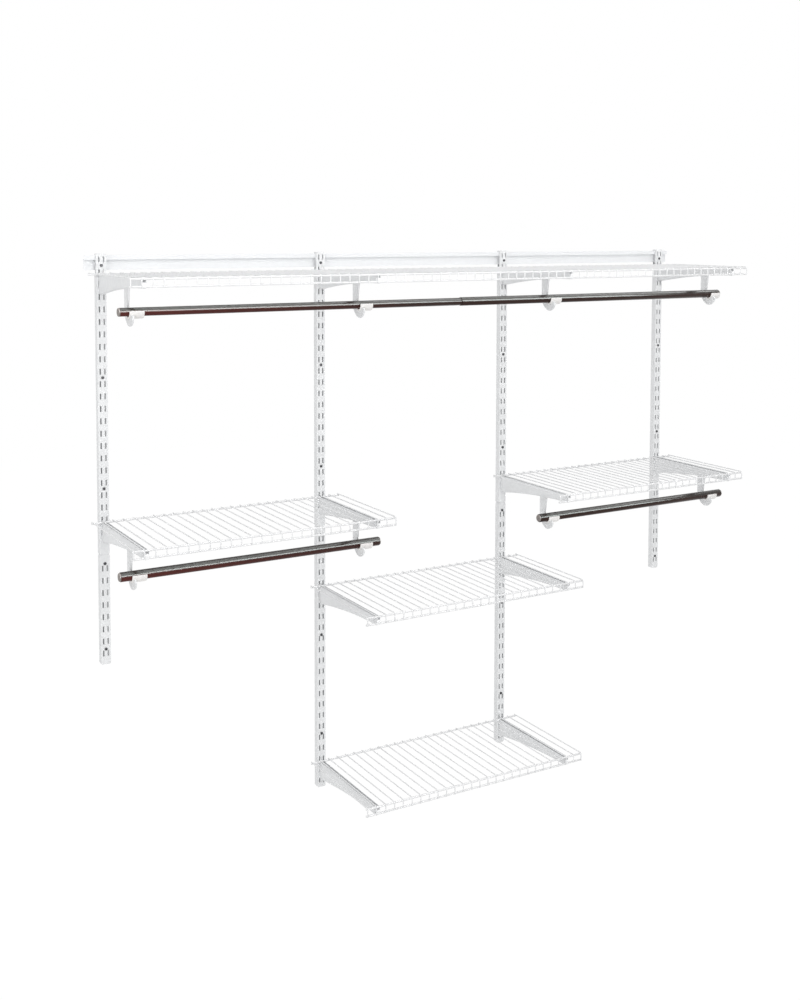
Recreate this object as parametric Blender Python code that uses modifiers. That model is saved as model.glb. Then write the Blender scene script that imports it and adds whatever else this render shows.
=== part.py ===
"""A wall mounted closet system: a hang rail carries four slotted uprights, and brackets
hooked into the slots carry five wire shelves and three telescoping rods for hangers.

X runs along the wall, -Y points into the room, Z is up. The wall is the plane Y = 0, and
the origin is the middle of the hang rail's back face."""

import math

import bmesh
import bpy
from mathutils import Matrix, Vector

# General clearances and finishes
SEAT_GAP = 0.0003  # between a piece and what it rests on
RUNNING_GAP = 0.0003  # between the tubes of one rod
OVERRUN = 0.004  # how far a cutter passes the faces that it cuts
WELD_SHARE = 0.01  # of the seat gap, within which points are merged
ROUND_SIDES = 12
CORNER_SIDES = 2
QUARTER_TURN_DEG = 90
FLAT_ANGLE_DEG = 0.1
SHARP_ANGLE_DEG = 40

# Wall layout: the uprights share out the rail's length
UPRIGHT_COUNT = 4
RAIL_END_OVERHANG = 0.0385  # from an outer upright's middle to the rail's end

# Hang rail: a rolled strip whose upper part stands forward as a lip
RAIL_LENGTH = 1.829
RAIL_HEIGHT = 0.0354
RAIL_SHEET = 0.002
RAIL_REACH = 0.0095
RAIL_STEP_HEIGHT = 0.0066

# Uprights: slotted channels open to the wall
UPRIGHT_WIDTH = 0.024
UPRIGHT_DEPTH = 0.017
UPRIGHT_SHEET = 0.0015
UPRIGHT_RISE = 0.005
UPRIGHT_CORNER = 0.004
UPPER_LENGTH = 0.731
LOWER_SHORT_LENGTH = 0.271
LOWER_LONG_LENGTH = 0.711
LIFT_TO_UNHOOK = 0.012
TONGUE_LENGTH = 0.032
TONGUE_LAP = 0.006
TONGUE_FUSE = 0.0002

# Slots, in rows that are counted down the wall from the top shelf's brackets
SLOT_PITCH = 0.030
SLOT_LENGTH = 0.0144
SLOT_WIDTH = 0.0036
SLOT_COLUMNS_APART = 0.0112
SLOT_ROW_ZERO_DROP = 0.015  # from the rail's middle down to the top of row 0
SLOT_END_MARGIN = 0.007  # least distance from a slot to what ends its piece

# Wire shelves
WIRE_PITCH = 0.0255
WIRE_DIAMETER = 0.003
EDGE_WIRE = 0.005
TRIANGLE_HEIGHT_SHARE = 1.5  # height of a three-sided wire over its circle's radius
FRONT_EDGE_HEIGHT = 0.0072  # the front wire and the cross wires that bend over it
WIRE_BELOW_DECK = 0.0006
BACK_WIRE_REACH = 0.0046  # from the slot face to the back wire's axis
LIP_REACH = 0.3165
LIP_WIRE_DROP = 0.0224  # from the deck's top to the bottom wire's axis
DECK_BELOW_SLOT = 0.0078  # from the top of a shelf's slot row to its deck
SHELF_LEFT_OVERHANG = 0.031
SHELF_RIGHT_OVERHANG = 0.048

# Rows between a shelf and the end of the slots of the piece that carries it
TOP_SHELF_ROW_COUNT = 1
LOW_SHELF_ROW_COUNT = 1
MIDDLE_SHELF_ROW_COUNT = 4
BOTTOM_SHELF_ROW_COUNT = 2

# Brackets: folded channels open at the top
BRACKET_SHEET = 0.0015
BRACKET_WIDTH = SLOT_COLUMNS_APART + BRACKET_SHEET
BRACKET_ROOT_DROP = 0.054
BRACKET_TIP_DROP = 0.0255
BRACKET_CURVE_POWER = 1.9
BRACKET_CURVE_POINTS = 5
BRACKET_HEEL_DROP = 0.048
BRACKET_HEEL_LENGTH = 0.012
HOOK_THICKNESS = 0.0035
HOOK_DROP = 0.0078

# Rod hooks and saddles, measured from the rod's axis
ROD_REACH = 0.225
ROD_DROP = 0.0822  # from the deck's top to the rod's axis
HOOK_PLATE = 0.002
HOOK_PLATE_OFFSET = 0.0029  # left of the upright's middle
STRAP_BACK = 0.035
STRAP_FRONT_LOW = 0.0122
STRAP_FRONT_TOP = 0.001
STRAP_TAPER_HEIGHT = 0.010
LOBE_TIP_DEG = -158.0
LOBE_SIDES = 6
SHOULDER_WIDTH = 0.005
SHOULDER_HEIGHT = 0.008
SADDLE_THICKNESS = 0.0042
SADDLE_LEFT = 0.0084
SADDLE_RIGHT = 0.0303
SADDLE_FRONT_DEG = -190.0
SADDLE_BACK_DEG = -50.0
SADDLE_SIDES = 6

# Telescoping rods
ROD_DIAMETER = 0.0222
ROD_WALL = 0.0009
TOP_ROD_OVERHANG = 0.031
TOP_ROD_OVERLAP = 0.100
LOW_ROD_LEFT_OVERHANG = 0.036
LOW_ROD_RIGHT_OVERHANG = 0.052
CAP_THICKNESS = 0.003
CAP_PLUG_LENGTH = 0.010
INNER_END_GAP = 0.004

# Values that follow from the sizes above
SLOT_FACE_Y = -UPRIGHT_DEPTH
FIRST_UPRIGHT_X = RAIL_END_OVERHANG - RAIL_LENGTH / 2
UPRIGHT_SPACING = -2 * FIRST_UPRIGHT_X / (UPRIGHT_COUNT - 1)
UPRIGHT_TOP_Z = RAIL_HEIGHT / 2 + UPRIGHT_RISE
JOINT_Z = UPRIGHT_TOP_Z - UPPER_LENGTH
INNER_DIAMETER = ROD_DIAMETER - 2 * (ROD_WALL + RUNNING_GAP)
BRACKET_LENGTH = LIP_REACH - EDGE_WIRE / 2 - SEAT_GAP
SADDLE_BORE = ROD_DIAMETER / 2 + SEAT_GAP
LOBE_BORE = SADDLE_BORE + SADDLE_THICKNESS + SEAT_GAP

# The plane of an outline: its own X and Y become the named world axes
ACROSS_THE_WALL = Matrix(((1, 0, 0, 0), (0, 0, -1, 0), (0, 1, 0, 0), (0, 0, 0, 1)))
OUT_FROM_THE_WALL = Matrix(((0, 0, 1, 0), (1, 0, 0, 0), (0, 1, 0, 0), (0, 0, 0, 1)))
ALONG_THE_WALL = Matrix.Rotation(math.radians(QUARTER_TURN_DEG), 4, "Y")
A_QUARTER_BACK = Matrix.Rotation(-math.radians(QUARTER_TURN_DEG), 4, "Z")


def upright_x(index):
    return FIRST_UPRIGHT_X + index * UPRIGHT_SPACING


def slot_top_z(row):
    return -SLOT_ROW_ZERO_DROP - row * SLOT_PITCH


def rows_between(high, low):
    """The rows whose slots lie wholly between two heights on the wall."""
    first = math.ceil((-SLOT_ROW_ZERO_DROP - high) / SLOT_PITCH)
    last = math.floor((-SLOT_ROW_ZERO_DROP - SLOT_LENGTH - low) / SLOT_PITCH)
    return range(first, last + 1)


def deck_z(row):
    return slot_top_z(row) - DECK_BELOW_SLOT


def out_y(reach):
    """Y of a place that lies this far in front of the uprights' slot face."""
    return SLOT_FACE_Y - reach


def clear_scene():
    for obj in list(bpy.data.objects):
        bpy.data.objects.remove(obj, do_unlink=True)


def new_collection(name):
    made = bpy.data.collections.new(name)
    bpy.context.scene.collection.children.link(made)
    return made


def new_material(name, colour, roughness, metallic):
    made = bpy.data.materials.new(name)
    made.use_nodes = True
    made.diffuse_color = (*colour, 1)
    shader = made.node_tree.nodes["Principled BSDF"]
    shader.inputs["Base Color"].default_value = (*colour, 1)
    shader.inputs["Roughness"].default_value = roughness
    shader.inputs["Metallic"].default_value = metallic
    return made


def place(mesh, name, location=(0, 0, 0), material=None, cutter=False):
    """A new object of this mesh: a part, or a cutter where it is marked as one."""
    obj = bpy.data.objects.new(name, mesh)
    obj.location = location
    if cutter:
        obj.hide_render = True
        obj.display_type = "WIRE"
        CUTTERS.objects.link(obj)
    else:
        PARTS.objects.link(obj)
    if material and not mesh.materials:
        mesh.materials.append(material)
    return obj


def add_box(shape, low, high):
    """Adds a box between two corners to a bmesh."""
    low, high = Vector(low), Vector(high)
    size = Matrix.Diagonal((*(high - low), 1))
    bmesh.ops.create_cube(shape, size=1, matrix=Matrix.Translation((low + high) / 2) @ size)


def add_wire(shape, start, end, diameter, flat_side):
    """Adds a three-sided wire as deep as its diameter, with its flat facing flat_side."""
    start, end = Vector(start), Vector(end)
    run = (end - start).normalized()
    facing = -Vector(flat_side)
    axes = Matrix((facing, run.cross(facing), run)).transposed().to_4x4()
    radius = diameter / TRIANGLE_HEIGHT_SHARE
    middle = (start + end) / 2 - facing * (radius - diameter / 2)
    bmesh.ops.create_cone(
        shape,
        cap_ends=True,
        segments=3,
        radius1=radius,
        radius2=radius,
        depth=(end - start).length,
        matrix=Matrix.Translation(middle) @ axes @ A_QUARTER_BACK,
    )


def mesh_of(shape, name):
    mesh = bpy.data.meshes.new(name)
    shape.to_mesh(mesh)
    shape.free()
    return mesh


def evaluated_mesh(obj, name):
    """The mesh of an object with its modifiers, welded. The object is removed."""
    graph = bpy.context.evaluated_depsgraph_get()
    mesh = bpy.data.meshes.new_from_object(obj.evaluated_get(graph))
    shape = bmesh.new()
    shape.from_mesh(mesh)
    bmesh.ops.remove_doubles(shape, verts=shape.verts, dist=SEAT_GAP * WELD_SHARE)
    bmesh.ops.recalc_face_normals(shape, faces=shape.faces)
    bpy.data.objects.remove(obj, do_unlink=True)
    bpy.data.meshes.remove(mesh)
    return mesh_of(shape, name)


def flat_piece(name, outline, thickness, plane):
    """A plate with this outline, centred on its plane, as a mesh in world axes."""
    curve = bpy.data.curves.new(name, "CURVE")
    curve.dimensions = "2D"
    curve.fill_mode = "BOTH"
    curve.extrude = thickness / 2
    spline = curve.splines.new("POLY")
    spline.points.add(len(outline) - 1)
    for point, (across, up) in zip(spline.points, outline):
        point.co = (across, up, 0, 1)
    spline.use_cyclic_u = True
    obj = bpy.data.objects.new(name, curve)
    PARTS.objects.link(obj)
    mesh = evaluated_mesh(obj, name)
    shape = bmesh.new()
    shape.from_mesh(mesh)
    bmesh.ops.dissolve_limit(
        shape, angle_limit=math.radians(FLAT_ANGLE_DEG), verts=shape.verts, edges=shape.edges
    )
    shape.transform(plane)
    bpy.data.meshes.remove(mesh)
    return mesh_of(shape, name)


def turned_piece(name, profile, closed):
    """A profile of (radius, distance along the axis) turned about the X axis."""
    shape = bmesh.new()
    points = [shape.verts.new((radius, 0, along)) for radius, along in profile]
    for first, second in zip(points, points[1:]):
        shape.edges.new((first, second))
    if closed:
        shape.edges.new((points[-1], points[0]))
    obj = bpy.data.objects.new(name, mesh_of(shape, name))
    PARTS.objects.link(obj)
    screw = obj.modifiers.new("turn", "SCREW")
    screw.axis = "Z"
    screw.steps = ROUND_SIDES
    screw.render_steps = ROUND_SIDES
    screw.use_merge_vertices = True
    screw.merge_threshold = SEAT_GAP * WELD_SHARE
    screw.use_normal_calculate = True
    mesh = evaluated_mesh(obj, name)
    mesh.transform(ALONG_THE_WALL)
    mesh.shade_smooth()
    mesh.set_sharp_from_angle(angle=math.radians(SHARP_ANGLE_DEG))
    return mesh


def combine(mesh, other, operation, name):
    """The Boolean of two meshes in the same place, as a new mesh."""
    body = place(mesh, name)
    tool = place(other, name + "_tool", cutter=True)
    boolean = body.modifiers.new(operation.lower(), "BOOLEAN")
    boolean.operation = operation
    boolean.object = tool
    result = evaluated_mesh(body, name)
    bpy.data.objects.remove(tool, do_unlink=True)
    return result


def arc(radius, start_deg, end_deg, sides, hollow=False):
    """Points on an arc about the origin, both ends included. A hollow arc's flats keep
    clear of the radius, so that a round piece fits inside it."""
    step_deg = (end_deg - start_deg) / sides
    if hollow:
        radius /= math.cos(math.radians(step_deg / 2))
    turns = [math.radians(start_deg + step_deg * step) for step in range(sides + 1)]
    return [(radius * math.cos(turn), radius * math.sin(turn)) for turn in turns]


def make_rail(material):
    half, step, sheet, reach = RAIL_HEIGHT / 2, RAIL_STEP_HEIGHT, RAIL_SHEET, RAIL_REACH
    outline = (
        (0, -half),
        (0, step + sheet),
        (sheet - reach, step + sheet),
        (sheet - reach, half),
        (-reach, half),
        (-reach, step),
        (-sheet, step),
        (-sheet, -half),
    )
    place(flat_piece("hang_rail", outline, RAIL_LENGTH, OUT_FROM_THE_WALL), "hang_rail", material=material)


def rounded_strip(width, top, bottom, corner):
    """The front view of an upright piece, with all four corners rounded."""
    right, left = width / 2 - corner, corner - width / 2
    high, low = top - corner, bottom + corner
    centres = ((right, high), (left, high), (left, low), (right, low))
    outline = []
    for quarter, (x, z) in enumerate(centres):
        turn = quarter * QUARTER_TURN_DEG
        round_corner = arc(corner, turn, turn + QUARTER_TURN_DEG, CORNER_SIDES)
        outline += [(x + across, z + up) for across, up in round_corner]
    return outline


def channel(name, width, depth, sheet, top, bottom, corner):
    """An upright's channel: a web at the front and two flanges back to the wall."""
    strip = flat_piece(name, rounded_strip(width, top, bottom, corner), depth, ACROSS_THE_WALL)
    strip.transform(Matrix.Translation((0, -depth / 2, 0)))
    hollow = bmesh.new()
    add_box(
        hollow,
        (sheet - width / 2, sheet - depth, bottom - OVERRUN),
        (width / 2 - sheet, OVERRUN, top + OVERRUN),
    )
    return combine(strip, mesh_of(hollow, name), "DIFFERENCE", name)


def slot_cutters(rows):
    shape = bmesh.new()
    for row in rows:
        for side in (-1, 1):
            middle = side * SLOT_COLUMNS_APART / 2
            top = slot_top_z(row)
            add_box(
                shape,
                (middle - SLOT_WIDTH / 2, SLOT_FACE_Y - OVERRUN, top - SLOT_LENGTH),
                (middle + SLOT_WIDTH / 2, SLOT_FACE_Y + UPRIGHT_SHEET + OVERRUN, top),
            )
    return mesh_of(shape, "slots")


def rail_notch():
    """What an upright's flanges leave free: the rail, its lip and the lift to unhook it."""
    half = RAIL_HEIGHT / 2 + SEAT_GAP
    front = -RAIL_REACH - SEAT_GAP
    lip_back = RAIL_SHEET - RAIL_REACH + SEAT_GAP
    shelf_top = RAIL_STEP_HEIGHT + RAIL_SHEET + SEAT_GAP
    outline = (
        (OVERRUN, -half - LIFT_TO_UNHOOK),
        (OVERRUN, shelf_top),
        (lip_back, shelf_top),
        (lip_back, half),
        (front, half),
        (front, -half - LIFT_TO_UNHOOK),
    )
    return flat_piece("rail_notch", outline, UPRIGHT_WIDTH + 2 * OVERRUN, OUT_FROM_THE_WALL)


def make_upper_upright():
    name = "upright_upper"
    mesh = channel(
        name, UPRIGHT_WIDTH, UPRIGHT_DEPTH, UPRIGHT_SHEET, UPRIGHT_TOP_Z, JOINT_Z, UPRIGHT_CORNER
    )
    mesh = combine(mesh, slot_cutters(UPPER_ROWS), "DIFFERENCE", name)
    return combine(mesh, rail_notch(), "DIFFERENCE", name)


def lower_rows(length):
    return rows_between(JOINT_Z - SLOT_END_MARGIN, JOINT_Z - length + SLOT_END_MARGIN)


def make_lower_upright(name, length):
    """A lower piece, whose tongue rises inside the foot of the upper one."""
    top = JOINT_Z - SEAT_GAP
    mesh = channel(
        name, UPRIGHT_WIDTH, UPRIGHT_DEPTH, UPRIGHT_SHEET, top, top - length, UPRIGHT_CORNER
    )
    mesh = combine(mesh, slot_cutters(lower_rows(length)), "DIFFERENCE", name)
    step = UPRIGHT_SHEET + SEAT_GAP
    lap = UPRIGHT_SHEET - TONGUE_FUSE
    tongue = channel(
        "tongue",
        UPRIGHT_WIDTH - 2 * step,
        UPRIGHT_DEPTH - step,
        UPRIGHT_SHEET,
        top + TONGUE_LENGTH,
        top - TONGUE_LAP,
        UPRIGHT_CORNER / 2,
    )
    cheeks = bmesh.new()
    low, high = top - UPRIGHT_CORNER - TONGUE_LAP, top - UPRIGHT_CORNER
    for side in (-1, 1):
        outer, inner = side * (UPRIGHT_WIDTH / 2 - lap), side * (UPRIGHT_WIDTH / 2 - 2 * step)
        add_box(
            cheeks,
            (min(outer, inner), lap - UPRIGHT_DEPTH, low),
            (max(outer, inner), -step, high),
        )
    joined = combine(mesh, mesh_of(cheeks, "cheeks"), "UNION", name)
    return combine(joined, tongue, "UNION", name)


def shelf_mesh(name, bays):
    """A wire shelf seen from its left upright's middle at the deck's top."""
    first = -SHELF_LEFT_OVERHANG
    length = bays * UPRIGHT_SPACING + SHELF_LEFT_OVERHANG + SHELF_RIGHT_OVERHANG
    wires = round(length / WIRE_PITCH) + 1
    places = [first + WIRE_PITCH * index for index in range(wires)]
    half = EDGE_WIRE / 2
    low_x, high_x = places[0] - half, places[-1] + half
    back, lip = out_y(BACK_WIRE_REACH), out_y(LIP_REACH)
    edges = bmesh.new()
    add_box(edges, (low_x, back - half, -EDGE_WIRE), (high_x, back + half, 0))
    add_box(edges, (low_x, lip - half, -FRONT_EDGE_HEIGHT), (high_x, lip + half, 0))
    add_box(
        edges,
        (low_x, lip - half, -LIP_WIRE_DROP - half),
        (high_x, lip + half, half - LIP_WIRE_DROP),
    )
    rungs = bmesh.new()
    deck_axis = -WIRE_BELOW_DECK - WIRE_DIAMETER / 2
    for x in places:
        add_wire(rungs, (x, back, deck_axis), (x, lip, deck_axis), WIRE_DIAMETER, (0, 0, 1))
        add_wire(
            rungs,
            (x, lip, -FRONT_EDGE_HEIGHT / 2),
            (x, lip, -LIP_WIRE_DROP),
            WIRE_DIAMETER,
            (0, -1, 0),
        )
    return combine(mesh_of(edges, name), mesh_of(rungs, name + "_rungs"), "UNION", name)


def bracket_edge_z(reach):
    """Height of a bracket's lower edge, below the deck, this far out from the slot face."""
    left = 1 - reach / BRACKET_LENGTH
    return -BRACKET_TIP_DROP - (BRACKET_ROOT_DROP - BRACKET_TIP_DROP) * left**BRACKET_CURVE_POWER


def bracket_curve():
    """Reaches of the points along a bracket's lower edge, from its heel to its tip."""
    run = BRACKET_LENGTH - BRACKET_HEEL_LENGTH
    steps = BRACKET_CURVE_POINTS - 1
    return [BRACKET_HEEL_LENGTH + run * step / steps for step in range(BRACKET_CURVE_POINTS)]


def bracket_mesh():
    top = -EDGE_WIRE - SEAT_GAP
    face = out_y(SEAT_GAP)
    slot_top = DECK_BELOW_SLOT - SLOT_PITCH
    neck_top, neck_low = slot_top - SEAT_GAP, slot_top - SLOT_LENGTH + SEAT_GAP
    inside = SLOT_FACE_Y + UPRIGHT_SHEET + SEAT_GAP
    curve = [(out_y(reach), bracket_edge_z(reach)) for reach in bracket_curve()]
    outline = [
        (out_y(BRACKET_LENGTH), top),
        (face, top),
        (face, neck_top),
        (inside + HOOK_THICKNESS, neck_top),
        (inside + HOOK_THICKNESS, neck_low - HOOK_DROP),
        (inside, neck_low - HOOK_DROP),
        (inside, neck_low),
        (face, neck_low),
        (face, -BRACKET_HEEL_DROP),
    ] + curve
    plate = flat_piece("bracket", outline, BRACKET_WIDTH, OUT_FROM_THE_WALL)
    floor = [(y, z + BRACKET_SHEET) for y, z in curve]
    hollow = [
        (OVERRUN, OVERRUN),
        (OVERRUN, floor[0][1]),
        *floor,
        (floor[-1][0] - OVERRUN, floor[-1][1]),
        (floor[-1][0] - OVERRUN, OVERRUN),
    ]
    inner = flat_piece(
        "bracket_hollow", hollow, BRACKET_WIDTH - 2 * BRACKET_SHEET, OUT_FROM_THE_WALL
    )
    return combine(plate, inner, "DIFFERENCE", "bracket")


def hook_slot():
    """The slot in a bracket's floor that a rod hook's strap hangs through."""
    shape = bmesh.new()
    strap_top_front = out_y(ROD_REACH + STRAP_FRONT_TOP)
    strap_back = out_y(ROD_REACH - STRAP_BACK)
    half = HOOK_PLATE / 2 + SEAT_GAP
    add_box(
        shape,
        (-HOOK_PLATE_OFFSET - half, strap_top_front - SEAT_GAP, -BRACKET_ROOT_DROP),
        (-HOOK_PLATE_OFFSET + half, strap_back + SEAT_GAP, bracket_edge_z(BRACKET_LENGTH) / 2),
    )
    return mesh_of(shape, "hook_slot")


def hook_mesh():
    """A rod hook about the rod's axis: shoulders on the bracket's floor, a strap, a lobe."""
    front, back = ROD_REACH + STRAP_FRONT_TOP, ROD_REACH - STRAP_BACK
    seat = BRACKET_SHEET + 2 * SEAT_GAP + ROD_DROP
    front_seat = bracket_edge_z(front + SHOULDER_WIDTH) + seat
    back_seat = bracket_edge_z(back) + seat
    back_out_seat = bracket_edge_z(back - SHOULDER_WIDTH) + seat
    top = front_seat + SHOULDER_HEIGHT
    lobe = arc(STRAP_BACK, 0, LOBE_TIP_DEG, LOBE_SIDES)
    bore_back_deg = -math.degrees(math.acos(STRAP_FRONT_LOW / LOBE_BORE))
    bore = arc(LOBE_BORE, LOBE_TIP_DEG, bore_back_deg, SADDLE_SIDES - 1, hollow=True)
    outline = [
        (STRAP_BACK + SHOULDER_WIDTH, top),
        (STRAP_BACK + SHOULDER_WIDTH, back_out_seat),
        (STRAP_BACK, back_seat),
        *lobe,
        *bore,
        (STRAP_FRONT_LOW, STRAP_TAPER_HEIGHT),
        (-STRAP_FRONT_TOP, front_seat),
        (-STRAP_FRONT_TOP - SHOULDER_WIDTH, front_seat),
        (-STRAP_FRONT_TOP - SHOULDER_WIDTH, top),
    ]
    return flat_piece("rod_hook", outline, HOOK_PLATE, OUT_FROM_THE_WALL)


def saddle_mesh():
    """The trough that the rod lies in, about the rod's axis."""
    outer = arc(SADDLE_BORE + SADDLE_THICKNESS, SADDLE_FRONT_DEG, SADDLE_BACK_DEG, SADDLE_SIDES)
    inner = arc(SADDLE_BORE, SADDLE_BACK_DEG, SADDLE_FRONT_DEG, SADDLE_SIDES, hollow=True)
    length = SADDLE_LEFT + SADDLE_RIGHT
    mesh = flat_piece("rod_saddle", outer + inner, length, OUT_FROM_THE_WALL)
    mesh.transform(Matrix.Translation((length / 2 - SADDLE_LEFT, 0, 0)))
    return mesh


def tube_mesh(name, diameter, length):
    """A tube that starts at the origin and runs along +X."""
    outer, inner = diameter / 2, diameter / 2 - ROD_WALL
    return turned_piece(name, ((outer, length), (outer, 0), (inner, 0), (inner, length)), True)


def cap_mesh(name, bore, side):
    """An end cap at the origin, whose flange lies on the given side of a tube's end."""
    radius, plug = ROD_DIAMETER / 2, bore / 2 - SEAT_GAP
    flange, end = side * CAP_THICKNESS, -side * CAP_PLUG_LENGTH
    profile = [(0, flange), (radius, flange), (radius, 0), (plug, 0), (plug, end), (0, end)]
    return turned_piece(name, profile, False)


def make_rod(name, axis, left_end, right_end, inner_length, outer_start, materials):
    """A telescoping rod between two cap faces. The thin tube and its cap slide as one."""
    metal, cap_material = materials
    y, z = axis
    start = left_end + CAP_THICKNESS + SEAT_GAP
    inner = place(
        tube_mesh(name + "_inner", INNER_DIAMETER, inner_length),
        name + "_rod_inner",
        (start, y, z),
        metal,
    )
    outer_length = right_end - CAP_THICKNESS - SEAT_GAP - outer_start
    place(
        tube_mesh(name + "_outer", ROD_DIAMETER, outer_length),
        name + "_rod_outer",
        (outer_start, y, z),
        metal,
    )
    left_cap = place(
        cap_mesh(name + "_left_cap", INNER_DIAMETER - 2 * ROD_WALL, -1),
        name + "_rod_cap_left",
        (-SEAT_GAP, 0, 0),
        cap_material,
    )
    left_cap.parent = inner
    place(
        cap_mesh(name + "_right_cap", ROD_DIAMETER - 2 * ROD_WALL, 1),
        name + "_rod_cap_right",
        (right_end - CAP_THICKNESS, y, z),
        cap_material,
    )


LEFT_BAY, MIDDLE_BAY, RIGHT_BAY = range(UPRIGHT_COUNT - 1)
UPPER_ROWS = rows_between(
    UPRIGHT_TOP_Z - SLOT_END_MARGIN, JOINT_Z + TONGUE_LENGTH + SLOT_END_MARGIN
)
LONG_ROWS = lower_rows(LOWER_LONG_LENGTH)

clear_scene()
PARTS = new_collection("wall_mounted_closet_system")
CUTTERS = new_collection("cutters")

white_paint = new_material("white_paint", (0.86, 0.86, 0.85), 0.4, 0.0)
white_wire = new_material("white_wire", (0.9, 0.9, 0.9), 0.35, 0.0)
white_plastic = new_material("white_plastic", (0.84, 0.83, 0.8), 0.45, 0.0)
bronze_metal = new_material("bronze_metal", (0.14, 0.08, 0.07), 0.25, 0.9)
cap_plastic = new_material("cap_plastic", (0.3, 0.28, 0.24), 0.5, 0.0)

make_rail(white_paint)

upper = make_upper_upright()
lower_short = make_lower_upright("lower_short", LOWER_SHORT_LENGTH)
lower_long = make_lower_upright("lower_long", LOWER_LONG_LENGTH)
for index in range(UPRIGHT_COUNT):
    spot = (upright_x(index), 0, 0)
    place(upper, f"upright_upper_{index + 1}", spot, white_paint)
    beside_middle = index in (MIDDLE_BAY, MIDDLE_BAY + 1)
    lower = lower_long if beside_middle else lower_short
    place(lower, f"upright_lower_{index + 1}", spot, white_paint)

SHELVES = (
    ("top", LEFT_BAY, RIGHT_BAY, UPPER_ROWS[TOP_SHELF_ROW_COUNT]),
    ("left", LEFT_BAY, LEFT_BAY, UPPER_ROWS[-1 - LOW_SHELF_ROW_COUNT]),
    ("right", RIGHT_BAY, RIGHT_BAY, UPPER_ROWS[-1 - LOW_SHELF_ROW_COUNT]),
    ("middle", MIDDLE_BAY, MIDDLE_BAY, LONG_ROWS[MIDDLE_SHELF_ROW_COUNT]),
    ("bottom", MIDDLE_BAY, MIDDLE_BAY, LONG_ROWS[-1 - BOTTOM_SHELF_ROW_COUNT]),
)
top_shelf = shelf_mesh("top_shelf", RIGHT_BAY + 1)
small_shelf = shelf_mesh("small_shelf", 1)
plain_bracket = bracket_mesh()
slotted_bracket = combine(plain_bracket.copy(), hook_slot(), "DIFFERENCE", "slotted_bracket")
hook, saddle = hook_mesh(), saddle_mesh()
rod_y = out_y(ROD_REACH)
for label, first_bay, last_bay, row in SHELVES:
    deck = deck_z(row)
    spans_all = last_bay > first_bay
    shelf = top_shelf if spans_all else small_shelf
    place(shelf, f"{label}_shelf", (upright_x(first_bay), 0, deck), white_wire)
    carries_rod = spans_all or first_bay != MIDDLE_BAY
    for index in range(first_bay, last_bay + 2):
        x = upright_x(index)
        shape = slotted_bracket if carries_rod else plain_bracket
        place(shape, f"{label}_bracket_{index + 1}", (x, 0, deck), white_paint)
        if carries_rod:
            spot = (x, rod_y, deck - ROD_DROP)
            place(saddle, f"{label}_rod_saddle_{index + 1}", spot, white_plastic)
            spot = (x - HOOK_PLATE_OFFSET, rod_y, deck - ROD_DROP)
            place(hook, f"{label}_rod_hook_{index + 1}", spot, white_paint)
    if not carries_rod:
        continue
    axis = (rod_y, deck - ROD_DROP)
    if spans_all:
        left_end = upright_x(first_bay) - TOP_ROD_OVERHANG
        right_end = upright_x(last_bay + 1) + TOP_ROD_OVERHANG
        outer_start = (left_end + right_end) / 2
        inner_end = outer_start + TOP_ROD_OVERLAP
    else:
        left_end = upright_x(first_bay) - LOW_ROD_LEFT_OVERHANG
        right_end = upright_x(first_bay + 1) + LOW_ROD_RIGHT_OVERHANG
        outer_start = left_end + CAP_THICKNESS + SEAT_GAP
        inner_end = right_end - CAP_THICKNESS - CAP_PLUG_LENGTH - INNER_END_GAP
    inner_length = inner_end - left_end - CAP_THICKNESS - SEAT_GAP
    make_rod(
        label, axis, left_end, right_end, inner_length, outer_start, (bronze_metal, cap_plastic)
    )
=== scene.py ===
"""The looks of a wall mounted closet system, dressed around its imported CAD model.

X runs along the wall, -Y points into the room, Z is up, and the wall is the plane Y = 0."""

import math

import bmesh
import bpy
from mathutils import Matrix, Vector


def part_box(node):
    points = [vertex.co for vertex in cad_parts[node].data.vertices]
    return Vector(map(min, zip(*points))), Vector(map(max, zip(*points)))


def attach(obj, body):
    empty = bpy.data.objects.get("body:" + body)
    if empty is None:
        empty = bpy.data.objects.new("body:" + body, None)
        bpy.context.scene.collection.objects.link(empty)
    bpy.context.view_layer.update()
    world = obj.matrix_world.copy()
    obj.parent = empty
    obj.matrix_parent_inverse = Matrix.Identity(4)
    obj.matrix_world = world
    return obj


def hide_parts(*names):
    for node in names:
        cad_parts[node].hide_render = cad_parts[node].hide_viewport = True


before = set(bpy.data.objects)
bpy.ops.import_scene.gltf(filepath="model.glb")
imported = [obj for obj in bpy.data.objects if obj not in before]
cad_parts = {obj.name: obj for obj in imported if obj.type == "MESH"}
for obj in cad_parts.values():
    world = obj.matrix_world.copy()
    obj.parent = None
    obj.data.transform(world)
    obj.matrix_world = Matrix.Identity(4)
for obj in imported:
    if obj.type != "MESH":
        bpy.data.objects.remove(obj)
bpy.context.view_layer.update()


# The studio. A white room without edges, with a pale floor and broad soft lamps above, in
# front and to the left. A long window and a soft ceiling only shine in glossy finishes.
# The camera stands to the left of the closet and a little above its hang rail.
CAMERA_PLACE = (-1.7581, -2.9811, 0.0810)
CAMERA_TURN_DEG = (86.4532, -0.1621, -30.5941)
CAMERA_LENS = 45.1515
CAMERA_SHIFT = (-0.014588, -0.192651)
FLOOR_HEIGHT = -1.75
FLOOR_SIZE = 14
FLOOR_WHITE = (0.9, 0.9, 0.9, 1)
WHITE = (1, 1, 1, 1)
ROOM_LIGHT = 0.73
FLOOR_GLOW = 1.03
FLOOR_SHADE_SHARE = 0.08


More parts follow.
